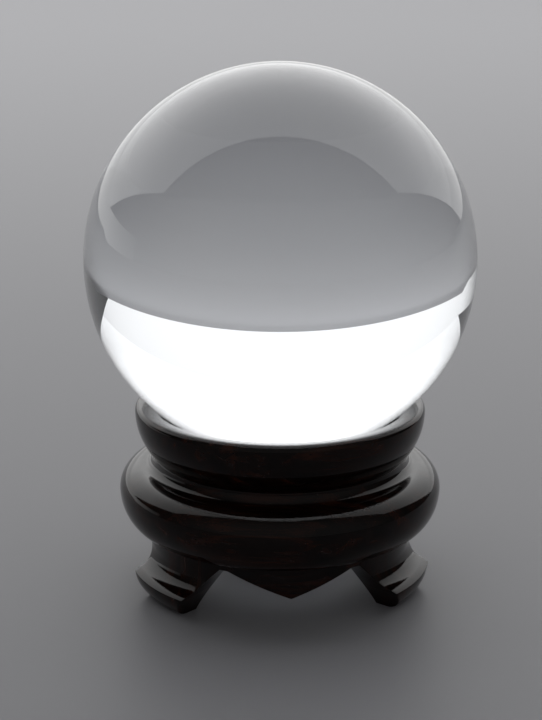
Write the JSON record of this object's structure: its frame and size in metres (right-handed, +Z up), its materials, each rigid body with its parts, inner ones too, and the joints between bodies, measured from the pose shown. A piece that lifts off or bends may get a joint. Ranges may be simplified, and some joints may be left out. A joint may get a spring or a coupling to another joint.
{
  "type": "crystal ball on stand",
  "caption": "Clear polished crystal ball lying loose in the turned cup of a dark lacquered wooden stand with flared, up-turned feet; it lifts out of the cup.",
  "frame": {"origin": "on the stand's axis, at the level of the feet's undersides", "axes": "+Z up along the stand's axis and the way the ball lifts out; -Y is the front, midway between the two front legs; +X is the viewer's right"},
  "size_m": [0.08, 0.08, 0.109],
  "materials": {
    "crystal": "clear, polished all over",
    "lacquered_wood": "near-black reddish brown hardwood under a clear gloss lacquer",
    "plain_wood": "bare straight-grained wood"
  },
  "bodies": {
    "stand": {"cup_ring": "lacquered_wood", "drum_ring": "lacquered_wood", "leg_front_left": "lacquered_wood", "leg_front_right": "lacquered_wood", "leg_rear": "lacquered_wood", "apron_front": "lacquered_wood", "apron_rear_left": "lacquered_wood", "apron_rear_right": "lacquered_wood", "dowel_front_left": "plain_wood", "dowel_front_right": "plain_wood", "dowel_rear": "plain_wood"},
    "ball": {"crystal_ball": "crystal"}
  },
  "joints": [
    {"name": "ball_lift", "type": "slide", "parent": "stand", "child": "ball", "axis": [0, 0, 1], "range_m": [0, 0.06]}
  ]
}
